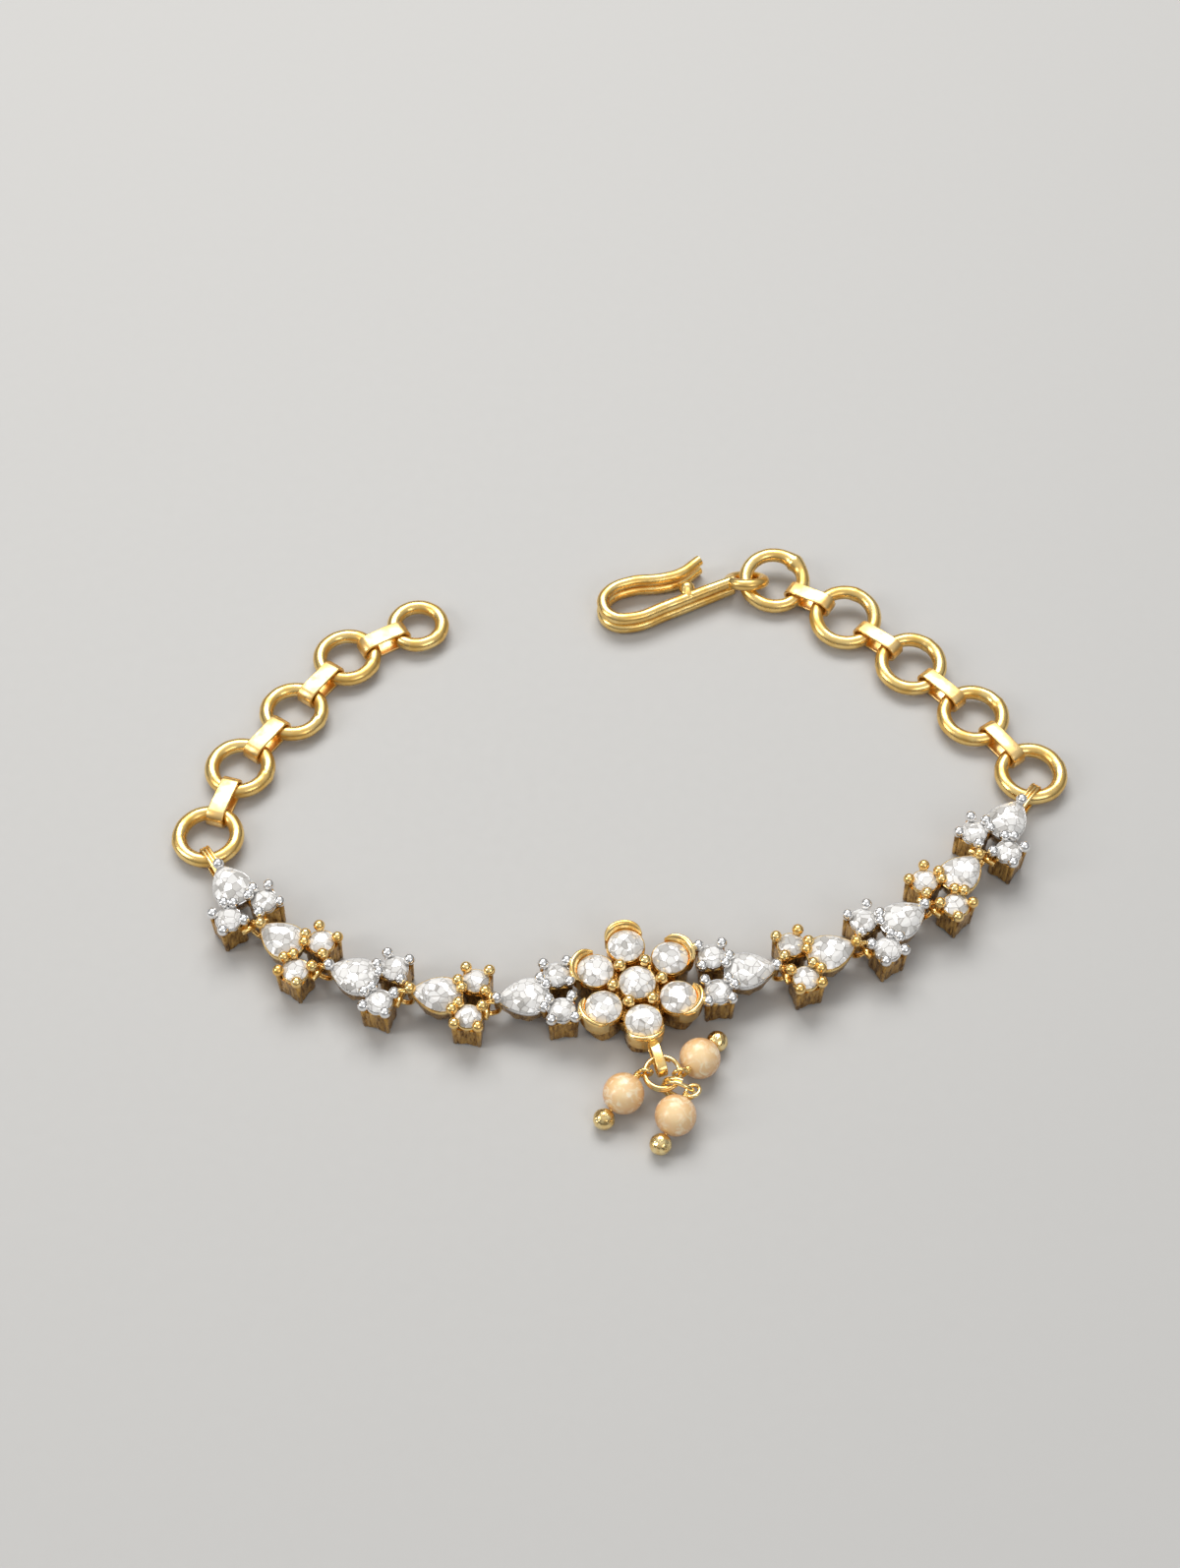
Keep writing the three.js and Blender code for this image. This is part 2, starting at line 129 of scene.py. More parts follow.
def joinUp(pieces):
    hold(pieces[0])
    for piece in pieces:
        piece.select_set(True)
    if len(pieces) > 1:
        bpy.ops.object.join()
    return bpy.context.object


def moved(piece, x=0, y=0, z=0, size=1):
    # a copy of the piece, with its own mesh, at another place
    twin = piece.copy()
    twin.data = piece.data.copy()
    bpy.context.scene.collection.objects.link(twin)
    twin.data.transform(Matrix.Translation((x, y, z)) @ Matrix.Scale(size, 4))
    return twin


def throwAway(*pieces):
    for piece in pieces:
        bpy.data.objects.remove(piece)


def place(piece, name, where, material, slotName, *stands):
    # a copy of the piece in the frame, dressed, riding on the bracelet and standing for CAD nodes
    twin = moved(piece)
    twin.name = name
    twin.data.name = name
    twin.data.transform(where @ Matrix.Scale(millimetre, 4))
    twin.data.materials.clear()
    twin.data.materials.append(material)
    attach(twin, "root")
    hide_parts(*stands)
    return twin


def heading(degrees):
    return Vector((math.cos(math.radians(degrees)), math.sin(math.radians(degrees)), 0))


def cadPoints(node):
    points = np.array([vert.co for vert in nodes[node].data.vertices], float)
    return np.unique(np.round(points, 7), axis=0)


def cadMiddle(node):
    low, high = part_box(node)
    return (low + high) / 2


def settingPlace(pearNode, halfLength):
    # the pear's point gives the way that its setting faces
    points = cadPoints(pearNode)
    centroid = points.mean(axis=0)
    reach = np.linalg.norm((points - centroid)[:, :2], axis=1)
    tip = points[reach.argmax()]
    along = Vector((*(tip - centroid)[:2], 0)).normalized()
    at = Vector((*tip[:2], 0)) - along * halfLength * millimetre
    return Matrix.Translation(at) @ Matrix.Rotation(math.atan2(along.y, along.x), 4, "Z")


def ringPlace(ringNode):
    # the thinnest way through the ring is its axis, kept pointing up
    points = cadPoints(ringNode)
    middle = points.mean(axis=0)
    axis = Vector(np.linalg.svd(points - middle)[2][2])
    if axis.z < 0:
        axis = -axis
    turn = Vector((0, 0, 1)).rotation_difference(axis).to_matrix().to_4x4()
    return Matrix.Translation(Vector(middle)) @ turn


def bandPlace(bandNode, fromRing, toRing):
    # runs along the band's longest way, with its up halfway between its two rings' axes
    points = cadPoints(bandNode)
    middle = points.mean(axis=0)
    along = Vector(np.linalg.svd(points - middle)[2][0])
    up = ringPlace(fromRing).to_3x3().col[2] + ringPlace(toRing).to_3x3().col[2]
    across = up.cross(along).normalized()
    up = along.cross(across).normalized()
    turn = Matrix((along, across, up)).transposed().to_4x4()
    return Matrix.Translation(Vector(middle)) @ turn


def newGroup(name, inputs, outputs):
    # an effect that more than one material can use
    group = bpy.data.node_groups.new(name, "ShaderNodeTree")
    for label, kind, value in inputs:
        socket = group.interface.new_socket(label, in_out="INPUT", socket_type=kind)
        if value is not None:
            socket.default_value = value
    for label, kind in outputs:
        group.interface.new_socket(label, in_out="OUTPUT", socket_type=kind)
    return group, group.nodes.new("NodeGroupInput"), group.nodes.new("NodeGroupOutput")


def addNode(tree, kind, **settings):
    node = tree.nodes.new(kind)
    for name, value in settings.items():
        if name in node.inputs:
            node.inputs[name].default_value = value
        else:
            setattr(node, name, value)
    return node


def mapped(tree, value, source=(0, 1), target=(0, 1)):
    # the value carried from its source range to the target range
    reach = addNode(tree, "ShaderNodeMapRange")
    for label, number in zip(("From Min", "From Max", "To Min", "To Max"), (*source, *target)):
        reach.inputs[label].default_value = number
    tree.links.new(value, reach.inputs["Value"])
    return reach.outputs["Result"]


def weighted(tree, value, share, base):
    # base plus a share of the value
    mix = addNode(tree, "ShaderNodeMath", operation="MULTIPLY_ADD")
    mix.inputs[1].default_value = share
    tree.links.new(value, mix.inputs[0])
    tree.links.new(base, mix.inputs[2])
    return mix.outputs[0]


handWork = {"marks": 5000.0, "markShare": 0.12, "wearAndPaintedDark": (0.35, 0.7)}


def makeHandWorked():
    # slow dents and fine polishing marks: Height for a bump, Wear for colour and roughness
    group, source, target = newGroup(
        "handWorked",
        [("Vector", "NodeSocketVector", None),
         ("Dents", "NodeSocketFloat", None),
         ("Marks", "NodeSocketFloat", handWork["marks"])],
        [("Height", "NodeSocketFloat"), ("WearAndPaintedDark", "NodeSocketFloat")],
    )
    dents = addNode(group, "ShaderNodeTexNoise", Detail=2.0, Roughness=0.5)
    marks = addNode(group, "ShaderNodeTexNoise", Detail=3.0, Roughness=0.6)
    link = group.links.new
    for noise, scale in ((dents, "Dents"), (marks, "Marks")):
        link(source.outputs["Vector"], noise.inputs["Vector"])
        link(source.outputs[scale], noise.inputs["Scale"])
    height = weighted(group, marks.outputs["Fac"], handWork["markShare"], dents.outputs["Fac"])
    link(height, target.inputs["Height"])
    link(mapped(group, dents.outputs["Fac"], handWork["wearAndPaintedDark"]), target.inputs["WearAndPaintedDark"])
    return group


casting = {"streaks": (2900.0, 2900.0, 700.0), "pits": 3300.0, "pitShare": 0.35, "wearAndPaintedDark": (0.38, 0.66)}


def makeCastStreaks():
    # upright streaks and pits of an unpolished casting, with the same outputs
    group, source, target = newGroup(
        "castStreaks",
        [("Vector", "NodeSocketVector", None)],
        [("Height", "NodeSocketFloat"), ("WearAndPaintedDark", "NodeSocketFloat")],
    )
    stretch = addNode(group, "ShaderNodeMapping", Scale=casting["streaks"])
    streaks = addNode(group, "ShaderNodeTexNoise", Scale=1.0, Detail=4.0, Roughness=0.65)
    pits = addNode(group, "ShaderNodeTexVoronoi", Scale=casting["pits"])
    link = group.links.new
    link(source.outputs["Vector"], stretch.inputs["Vector"])
    link(stretch.outputs["Vector"], streaks.inputs["Vector"])
    link(source.outputs["Vector"], pits.inputs["Vector"])
    height = weighted(group, pits.outputs["Distance"], casting["pitShare"], streaks.outputs["Fac"])
    link(height, target.inputs["Height"])
    # the streaks mask where the cast gold's painted dark reflection is deepest
    link(mapped(group, streaks.outputs["Fac"], casting["wearAndPaintedDark"]), target.inputs["WearAndPaintedDark"])
    return group


handWorked = makeHandWorked()
castStreaks = makeCastStreaks()


def newMaterial(name):
    material = bpy.data.materials.new(name)
    material.use_nodes = True
    tree = material.node_tree
    tree.nodes.clear()
    shader = tree.nodes.new("ShaderNodeBsdfPrincipled")
    output = tree.nodes.new("ShaderNodeOutputMaterial")
    tree.links.new(shader.outputs["BSDF"], output.inputs["Surface"])
    coords = tree.nodes.new("ShaderNodeTexCoord")
    return material, tree, shader, coords


def blend(tree, factor, first, second):
    # first may be a colour or the output of another node; a Mix node's colours are its sockets 6, 7 and 2
    mix = addNode(tree, "ShaderNodeMix", data_type="RGBA")
    if isinstance(first, tuple):
        mix.inputs[6].default_value = (*first, 1)
    else:
        tree.links.new(first, mix.inputs[6])
    mix.inputs[7].default_value = (*second, 1)
    tree.links.new(factor, mix.inputs[0])
    return mix.outputs[2]


def bumpFrom(tree, height, strength, distance):
    bump = addNode(tree, "ShaderNodeBump", Strength=strength, Distance=distance)
    tree.links.new(height, bump.inputs["Height"])
    return bump.outputs["Normal"]


def dress(tree, shader, looks):
    # gives each of the shader's named sockets its value, or the output of another node
    for label, look in looks.items():
        if isinstance(look, bpy.types.NodeSocket):
            tree.links.new(look, shader.inputs[label])
        else:
            shader.inputs[label].default_value = look


platings = {
    "ringGold": {"bright": (1.0, 0.73, 0.29), "wornAndPaintedDark": (0.82, 0.49, 0.12), "rough": (0.22, 0.36),
                 "dents": 520.0, "bump": 0.35, "depth": 0.00012},
    "bandGold": {"bright": (1.0, 0.72, 0.32), "wornAndPaintedDark": (0.88, 0.54, 0.17), "rough": (0.26, 0.4),
                 "dents": 900.0, "bump": 0.25, "depth": 0.00006},
    "clawGold": {"bright": (1.0, 0.76, 0.35), "wornAndPaintedDark": (0.92, 0.55, 0.15), "rough": (0.16, 0.28),
                 "dents": 900.0, "bump": 0.1, "depth": 0.00005},
    "rhodium": {"bright": (0.97, 0.97, 0.97), "wornAndPaintedDark": (0.86, 0.85, 0.84), "rough": (0.16, 0.28),
                "dents": 900.0, "bump": 0.08, "depth": 0.00005},
    "wireGold": {"bright": (1.0, 0.79, 0.38), "wornAndPaintedDark": (0.9, 0.6, 0.2), "rough": (0.12, 0.22),
                 "dents": 900.0, "bump": 0.1, "depth": 0.00004},
    "ballGold": {"bright": (1.0, 0.82, 0.43), "wornAndPaintedDark": (0.84, 0.56, 0.2), "rough": (0.1, 0.24),
                 "dents": 1700.0, "bump": 0.8, "depth": 0.0002},
}
# the cast gold is the claws' plating made darker, darkest along its casting streaks: painted dark reflection
# of dark surroundings
castLook = {"bright": (0.74, 0.44, 0.12), "wornAndPaintedDark": (0.15, 0.06, 0.01), "rough": (0.18, 0.34),
            "bump": 0.7, "depth": 0.00012}


def makeMetal(name, look, effect, **effectValues):
    # goes from its bright colour to its second one, and from smooth to rough, where the effect shows wear on
    # the platings and streaks on the cast gold; the cast gold's two colours are painted dark reflection
    material, tree, shader, coords = newMaterial(name)
    worked = addNode(tree, "ShaderNodeGroup", node_tree=effect, **effectValues)
    tree.links.new(coords.outputs["Object"], worked.inputs["Vector"])
    wearAndPaintedDark = worked.outputs["WearAndPaintedDark"]
    dress(tree, shader, {
        "Metallic": 1,
        "Base Color": blend(tree, wearAndPaintedDark, look["bright"], look["wornAndPaintedDark"]),
        "Roughness": mapped(tree, wearAndPaintedDark, target=look["rough"]),
        "Normal": bumpFrom(tree, worked.outputs["Height"], look["bump"], look["depth"]),
    })
    return material


# the stone's base colour is painted light: the bright white stands in for light the facets send back, the
# grey cells and dark lines for the dark that they reflect
stonePaintedLight = {
    "bright": (1, 0.985, 0.96),
    "paintedDarkFacet": (0.5, 0.48, 0.45),
    "paintedDarkCells": (0.45, 1),  # cells below the first number are all bright
    "line": (0.2, 0.17, 0.14),
    "lineWidth": 0.07,
    "lineShare": 0.6,
    "facets": 1300.0,
    "tilt": 0.5,
    "shader": {"Roughness": 0.03, "Transmission Weight": 0.2, "IOR": 1.9},
}


def makeCrystal():
    # painted reflections of the back facets seen through the stone: cells of white and grey with fine dark
    # lines between them, each tilted its own way by a height that slopes across it
    material, tree, shader, coords = newMaterial("crystal")
    cells = addNode(tree, "ShaderNodeTexVoronoi", Scale=stonePaintedLight["facets"])
    edges = addNode(tree, "ShaderNodeTexVoronoi", feature="DISTANCE_TO_EDGE", Scale=stonePaintedLight["facets"])
    split = addNode(tree, "ShaderNodeSeparateColor")
    for pattern in (cells, edges):
        tree.links.new(coords.outputs["Object"], pattern.inputs["Vector"])
    tree.links.new(cells.outputs["Color"], split.inputs["Color"])
    # painted reflections: grey facet cells, and dark lines between them, on a painted white
    paintedDarkFacet = mapped(tree, split.outputs["Red"], stonePaintedLight["paintedDarkCells"])
    line = mapped(tree, edges.outputs["Distance"], (0, stonePaintedLight["lineWidth"]), (stonePaintedLight["lineShare"], 0))
    body = blend(tree, paintedDarkFacet, stonePaintedLight["bright"], stonePaintedLight["paintedDarkFacet"])
    inCell = addNode(tree, "ShaderNodeVectorMath", operation="SUBTRACT")
    lean = addNode(tree, "ShaderNodeVectorMath", operation="SUBTRACT")
    lean.inputs[1].default_value = (0.5, 0.5, 0.5)  # so that cells lean every way alike
    slope = addNode(tree, "ShaderNodeVectorMath", operation="DOT_PRODUCT")
    tree.links.new(coords.outputs["Object"], inCell.inputs[0])
    tree.links.new(cells.outputs["Position"], inCell.inputs[1])
    tree.links.new(cells.outputs["Color"], lean.inputs[0])
    tree.links.new(inCell.outputs["Vector"], slope.inputs[0])
    tree.links.new(lean.outputs["Vector"], slope.inputs[1])
    dress(tree, shader, {
        **stonePaintedLight["shader"],
        "Base Color": blend(tree, line, body, stonePaintedLight["line"]),
        "Normal": bumpFrom(tree, slope.outputs["Value"], 1.0, stonePaintedLight["tilt"]),
    })
    return material


nacreLook = {
    # face and edge are blended by how squarely the surface faces the view: on the pearl's own peach, the
    # darker orange edge is painted shade at its rim
    "face": (0.91, 0.67, 0.37),
    "edge": (0.64, 0.27, 0.05),
    "streak": (0.97, 0.86, 0.64),
    "streaks": (0.5, 0.72),
    "warp": 320.0,
    "layers": 900.0,
    "rough": (0.22, 0.36),
    "bump": 0.25,
    "depth": 0.00008,
    "shader": {
        "Subsurface Weight": 0.15,
        "Subsurface Radius": (1.0, 0.6, 0.35),
        "Subsurface Scale": 0.0006,
        "Coat Weight": 0.3,
        "Coat Roughness": 0.16,
        "Sheen Weight": 0.1,
    },
}


def makeNacre():
    material, tree, shader, coords = newMaterial("nacre")
    rim = addNode(tree, "ShaderNodeLayerWeight", Blend=0.5)
    warp = addNode(tree, "ShaderNodeTexNoise", Scale=nacreLook["warp"], Detail=2.0)
    layers = addNode(
        tree, "ShaderNodeTexNoise", Scale=nacreLook["layers"], Detail=4.0, Roughness=0.6, Distortion=1.6)
    tree.links.new(coords.outputs["Object"], warp.inputs["Vector"])
    tree.links.new(coords.outputs["Object"], layers.inputs["Vector"])
    # darker and more orange towards the rim: painted shade
    body = blend(tree, rim.outputs["Facing"], nacreLook["face"], nacreLook["edge"])
    streaks = mapped(tree, layers.outputs["Fac"], nacreLook["streaks"])
    dress(tree, shader, {
        **nacreLook["shader"],
        "Base Color": blend(tree, streaks, body, nacreLook["streak"]),
        "Roughness": mapped(tree, warp.outputs["Fac"], target=nacreLook["rough"]),
        "Normal": bumpFrom(tree, layers.outputs["Fac"], nacreLook["bump"], nacreLook["depth"]),
    })
    return material


finishes = {name: makeMetal(name, look, handWorked, Dents=look["dents"]) for name, look in platings.items()}
# a darker copy of the gold plating: painted dark reflection
castGold = makeMetal("castGold", castLook, castStreaks)
crystal = makeCrystal()
nacre = makeNacre()
print("finishes ready")


pear = {"length": 4.8, "width": 3.7, "fullness": 0.7}
pear["spread"] = pear["width"] / 2 / 0.813  # the curve below is 0.813 wide at its widest


def pearOutline(angle):
    # a drop shape: the point is at angle 0
    across = pear["spread"] * math.sin(angle) * abs(math.sin(angle / 2)) ** pear["fullness"]
    return Vector((pear["length"] / 2 * math.cos(angle), across, 0))


def roundOutline(radius):
    return lambda angle: Vector((radius * math.cos(angle), radius * math.sin(angle), 0))


def outlineRing(outline, count, turn=0):
    # adds a circle of the right count, as a new piece or to the piece in hand, and bends it to the outline
    bpy.ops.mesh.primitive_circle_add(vertices=count, radius=1, rotation=(0, 0, turn))
    if bpy.context.mode == "OBJECT":
        edit()
    reshape(lambda co: outline(math.atan2(co.y, co.x)), onlyPicked=True)


def stack(levels):
    # pulls the picked ring through (height, size) levels, size as a share of the first outline
    height, size = 0.0, 1.0
    for step, (nextHeight, nextSize) in enumerate(levels):
        rise = (0, 0, nextHeight - height)
        if step:
            bpy.ops.mesh.extrude_region_move(TRANSFORM_OT_translate={"value": rise})
        else:
            bpy.ops.transform.translate(value=rise)
        share = nextSize / size
        bpy.ops.transform.resize(value=(share, share, 1), center_override=(0, 0, 0))
        height, size = nextHeight, nextSize


def wallRing(outline, levels, count):
    # a closed wall: its levels go up outside and down inside, back to where they started
    clearSelection()
    outlineRing(outline, count)
    stack(levels + levels[:1])
    return closeUp()


def drawWire(points, thickness, closed=False, steps=6, roundness=3, radii=None):
    clearSelection()
    bpy.ops.curve.primitive_bezier_curve_add()
    wire = bpy.context.object.data
    wire.splines.clear()
    spline = wire.splines.new("BEZIER")
    spline.bezier_points.add(len(points) - 1)
    for i, (knot, point) in enumerate(zip(spline.bezier_points, points)):
        knot.co = point
        knot.handle_left_type = knot.handle_right_type = "AUTO"
        knot.radius = radii[i] if radii else 1
    spline.use_cyclic_u = closed
    wire.dimensions = "3D"
    wire.twist_mode = "MINIMUM"
    wire.resolution_u = steps
    wire.bevel_depth = thickness / 2
    wire.bevel_resolution = roundness
    wire.use_fill_caps = not closed
    bpy.ops.object.convert(target="MESH")
    edit()
    return soften(closeUp(), 50)


# Each level of a cut is (height, size, corners, half step). Heights are measured from the girdle, as a share
# of the half width.
brilliantCut = [
    (0.335, 0.56, 8, 0), (0.215, 0.79, 8, 1), (0.03, 1, 16, 0), (-0.01, 1, 16, 0),
    (-0.66, 0.24, 8, 1), (-0.84, 0.01, 8, 0),
]
pearCut = [
    (0.34, 0.55, 10, 0), (0.21, 0.79, 10, 1), (0.03, 1, 20, 0), (-0.01, 1, 20, 0),
    (-0.42, 0.6, 10, 1), (-0.78, 0.16, 10, 0), (-0.84, 0.01, 8, 0),
]
# radii of the flower's and the settings' round stones, the height of every girdle, and how many degrees two
# facets differ by before they count as two
stones = {"petal": 1.75, "round": 1.25, "girdle": 3.42, "facetStep": 1.5}


def cutStone(outline, halfWidth, levels):
    clearSelection()
    for height, size, count, half in levels:
        turn = math.pi / count * half
        outlineRing(outline, count, turn)
        lift = stones["girdle"] + height * halfWidth
        reshape(lambda co: Vector((co.x * size, co.y * size, lift)), onlyPicked=True)
    bpy.ops.mesh.select_all(action="SELECT")
    bpy.ops.mesh.convex_hull(join_triangles=False)
    bpy.ops.mesh.select_all(action="SELECT")
    bpy.ops.mesh.dissolve_limited(angle_limit=math.radians(stones["facetStep"]))
    return closeUp()


petalStone = cutStone(roundOutline(stones["petal"]), stones["petal"], brilliantCut)
roundStone = cutStone(roundOutline(stones["round"]), stones["round"], brilliantCut)
pearStone = cutStone(pearOutline, pear["width"] / 2, pearCut)
print("stones cut")

# A three-stone setting is drawn with its pear's middle at the origin and the pear's point towards +X.
setting = {
    "rounds": (-3.45, 1.95),  # middles of the two round stones
    "clawReach": 1.6,  # from a round stone's middle to its claws
    "shoulder": (-1.81, 1.6),  # the claws on the pear's round end, and the one at its point
    "tip": 2.52,
    "bar": {"x": -4.95, "length": 2.9, "radius": 0.28, "height": 2.4, "edge": 0.06,
            "ridgeAt": 0.62, "ridge": 1.25, "waistTo": 0.25, "waist": 0.8},
    "nose": {"from": 2.1, "to": 4.1, "height": 2.5, "middle": 2.05, "wire": 0.27},
    "hoop": {"from": 1.85, "to": 6.5, "height": 2.3, "middle": 1.24, "wire": 0.34},
}
claw = {"radius": 0.57, "top": 4.38, "neckFrom": 0.3, "neckLength": 0.3, "squeeze": (0.66, 0.66, 0.4)}
# foot and head are radii, headBelow counts bead radii down from the bead's top, and the rest are foot heights
stem = {"foot": 0.24, "head": 0.36, "edge": 0.06, "headBelow": 1.6, "long": 0.12, "short": 1.9, "flower": 1.6}


def makeBead():
    # a claw's bead, which narrows into the head of its stem
    clearSelection()
    radius = claw["radius"]
    bpy.ops.mesh.primitive_uv_sphere_add(segments=14, ring_count=10, radius=radius)
    edit()
    pick(lambda co: co.z < -claw["neckFrom"] * radius)
    bpy.ops.mesh.extrude_region_move(TRANSFORM_OT_translate={"value": (0, 0, -claw["neckLength"])})
    bpy.ops.transform.resize(value=claw["squeeze"], center_override=(0, 0, -radius))
    piece = closeUp()
    piece.data.transform(Matrix.Translation((0, 0, claw["top"] - radius)))
    return soften(piece, 60)


def makeStem(foot):
    # the raw casting under a bead, running down the outside of its collet
    clearSelection()
    high = claw["top"] - stem["headBelow"] * claw["radius"]
    bpy.ops.mesh.primitive_cone_add(
        vertices=12, radius1=stem["foot"], radius2=stem["head"], depth=high - foot,
        location=(0, 0, (high + foot) / 2))
    return bevelled(settle(), stem["edge"], segments=2, degrees=50)


def roundPlaces():
    x, y = setting["rounds"]
    return [(x, -y), (x, y)]


def makeClaws():
    # beads and stems as two pieces, since only the beads are plated white
    bead, long, short = makeBead(), makeStem(stem["long"]), makeStem(stem["short"])
    reach = setting["clawReach"] * math.sqrt(0.5)
    spots = [(setting["tip"], 0, short)]
    for x, y in roundPlaces():
        side = math.copysign(1, y)
        spots.append((setting["shoulder"][0], side * setting["shoulder"][1], short))
        for alongX in (-1, 1):
            for alongY in (-1, 1):
                under = long if alongY == side else short
                spots.append((x + alongX * reach, y + alongY * reach, under))
    beads = joinUp([moved(bead, x, y) for x, y, under in spots])
    stems = joinUp([moved(under, x, y) for x, y, under in spots])
    throwAway(bead, long, short)
    return beads, stems


# the thin rims that hold the stones: (height, size) up the outside and down the inside
rimLevels = {
    "pear": [(2.95, 0.95), (2.95, 1.05), (3.2, 1.075), (3.37, 1.07), (3.43, 1.035), (3.36, 0.95)],
    "round": [(2.95, 0.94), (2.95, 1.07), (3.2, 1.1), (3.37, 1.09), (3.43, 1.045), (3.36, 0.94)],
    "petal": [(2.95, 0.96), (2.95, 1.05), (3.2, 1.065), (3.37, 1.06), (3.43, 1.03), (3.36, 0.96)],
}


def makeRims():
    rims = [wallRing(pearOutline, rimLevels["pear"], count=40)]
    small = wallRing(roundOutline(stones["round"]), rimLevels["round"], count=32)
    rims += [moved(small, x, y) for x, y in roundPlaces()]
    throwAway(small)
    return soften(joinUp(rims), 50)


basketShape = {
    "levels": [(1.3, 0.74), (1.35, 0.84), (2.2, 0.97), (3.0, 1.05), (3.0, 0.94), (2.2, 0.86)],
    "footBelow": 1.5,
    "wave": 0.15,
    "waveRate": 5,
}


def makeBasket():
    # pear wall, drawn in towards its foot, which rises and falls along it
    edit(wallRing(pearOutline, basketShape["levels"], count=40))

    def waved(co):
        return co + Vector((0, 0, basketShape["wave"] * math.sin(basketShape["waveRate"] * co.x)))

    pick(lambda co: co.z < basketShape["footBelow"])
    reshape(waved, onlyPicked=True)
    return soften(closeUp(), 45)


# corner is how far the small collets swell towards their claws, and notch how high the foot's notches reach
colletShape = {
    "levels": [(0.04, 0.9), (0.04, 1.02), (0.9, 1.04), (1.8, 1.05), (3.0, 1.07), (3.0, 0.94), (1.6, 0.9)],
    "corner": 0.24,
    "notch": {"round": 0.4, "petal": 0.6},
    "notchTop": 1.7,
    "notchCurve": 0.8,
}


def squareOutline(radius, corner):
    # a round that swells towards four corners
    def outline(angle):
        reach = radius * (1 + corner * (1 - math.cos(4 * angle)) / 2)
        return Vector((reach * math.cos(angle), reach * math.sin(angle), 0))

    return outline


def makeCollet(outline, notch, count):
    # a wall whose lower edge rises in a notch between the four claw stems
    edit(wallRing(outline, colletShape["levels"], count))

    def cutNotch(co):
        angle = math.degrees(math.atan2(co.y, co.x)) % 90
        rise = notch * (abs(angle - 45) / 45) ** colletShape["notchCurve"]
        low = max(0.0, 1 - co.z / colletShape["notchTop"])
        return Vector((co.x, co.y, co.z + rise * low))

    reshape(cutNotch)
    return soften(closeUp(), 45)


def makeBar():
    # the crossbar has a ridge on each side of its narrow waist
    bar = setting["bar"]
    clearSelection()
    bpy.ops.mesh.primitive_cylinder_add(
        vertices=14, radius=bar["radius"], depth=bar["length"],
        location=(bar["x"], 0, bar["height"]), rotation=(math.pi / 2, 0, 0))
    settle()
    edit()
    for cut in (-bar["ridgeAt"], -bar["waistTo"], bar["waistTo"], bar["ridgeAt"]):
        bpy.ops.mesh.select_all(action="SELECT")
        bpy.ops.mesh.bisect(plane_co=(0, cut, 0), plane_no=(0, 1, 0))
    for at, size in ((bar["ridgeAt"], bar["ridge"]), (bar["waistTo"], bar["waist"])):
        pick(lambda co: abs(abs(co.y) - at) < hair)
        bpy.ops.transform.resize(value=(size, 1, size), center_override=(bar["x"], 0, bar["height"]))
    return bevelled(closeUp(), bar["edge"], segments=2, degrees=50)


# how round a wire loop's corners are, and how many wire widths lie from strand to strand
wireLoop = {"bend": 0.9, "strandStep": 0.98}


def makeLoop(loop, strands):
    # an upright loop of wire, long way along X, with its strands side by side
    middleX = (loop["from"] + loop["to"]) / 2
    half = (loop["to"] - loop["from"]) / 2 - loop["wire"] / 2
    rise = loop["height"] / 2 - loop["wire"] / 2
    bend = min(half, rise) * wireLoop["bend"]
    corners = [(1, -1), (1, 1), (-1, 1), (-1, -1)]
    points = []
    for corner, (sideX, sideZ) in enumerate(corners):
        for step in (0, 45, 90):
            angle = math.radians(90 * corner - 90 + step)
            x = middleX + sideX * (half - bend) + bend * math.cos(angle)
            points.append(Vector((x, 0, loop["middle"] + sideZ * (rise - bend) + bend * math.sin(angle))))
    first = drawWire(points, loop["wire"], closed=True, steps=4)
    apart = loop["wire"] * wireLoop["strandStep"]
    wires = [moved(first, 0, (i - (strands - 1) / 2) * apart) for i in range(strands)]
    throwAway(first)
    return joinUp(wires)


claws, stems = makeClaws()
rims, basket = makeRims(), makeBasket()
smallOutline = squareOutline(stones["round"], colletShape["corner"])
smallCollet = makeCollet(smallOutline, colletShape["notch"]["round"], count=48)
collets = joinUp([moved(smallCollet, x, y) for x, y in roundPlaces()])
rounds = joinUp([moved(roundStone, x, y) for x, y in roundPlaces()])
bar = makeBar()
noseLoop = makeLoop(setting["nose"], 2)
hoopLoop = makeLoop(setting["hoop"], 3)


def placeSetting(side, number):
    where = settingPlace(f"{side}_pear_{number}", pear["length"] / 2)
    node = "centre_setting" if number == 1 else f"{side}_setting_{number}"
    white = number % 2 == 1
    plating, slotName = (finishes["rhodium"], "rhodium") if white else (finishes["clawGold"], "gold")
    name = f"{side}{number}"
    place(pearStone, f"{name}Pear", where, crystal, "stone", f"{side}_pear_{number}")
    place(rounds, f"{name}Rounds", where, crystal, "stone", node)
    place(claws, f"{name}Claws", where, plating, slotName, node)
    place(stems, f"{name}Stems", where, castGold, "gold", node)
    place(rims, f"{name}Rims", where, plating, slotName, node)
    place(basket, f"{name}Basket", where, castGold, "gold", node)
    place(collets, f"{name}Collets", where, castGold, "gold", node)
    if number > 1:
        place(bar, f"{name}Bar", where, finishes["clawGold"], "gold", node)
    loop = hoopLoop if number == 5 else noseLoop
    place(loop, f"{name}Loop", where, finishes["clawGold"], "gold", node)


for side in ("left", "right"):
    for number in range(1, 6):
        placeSetting(side, number)
print("settings placed")

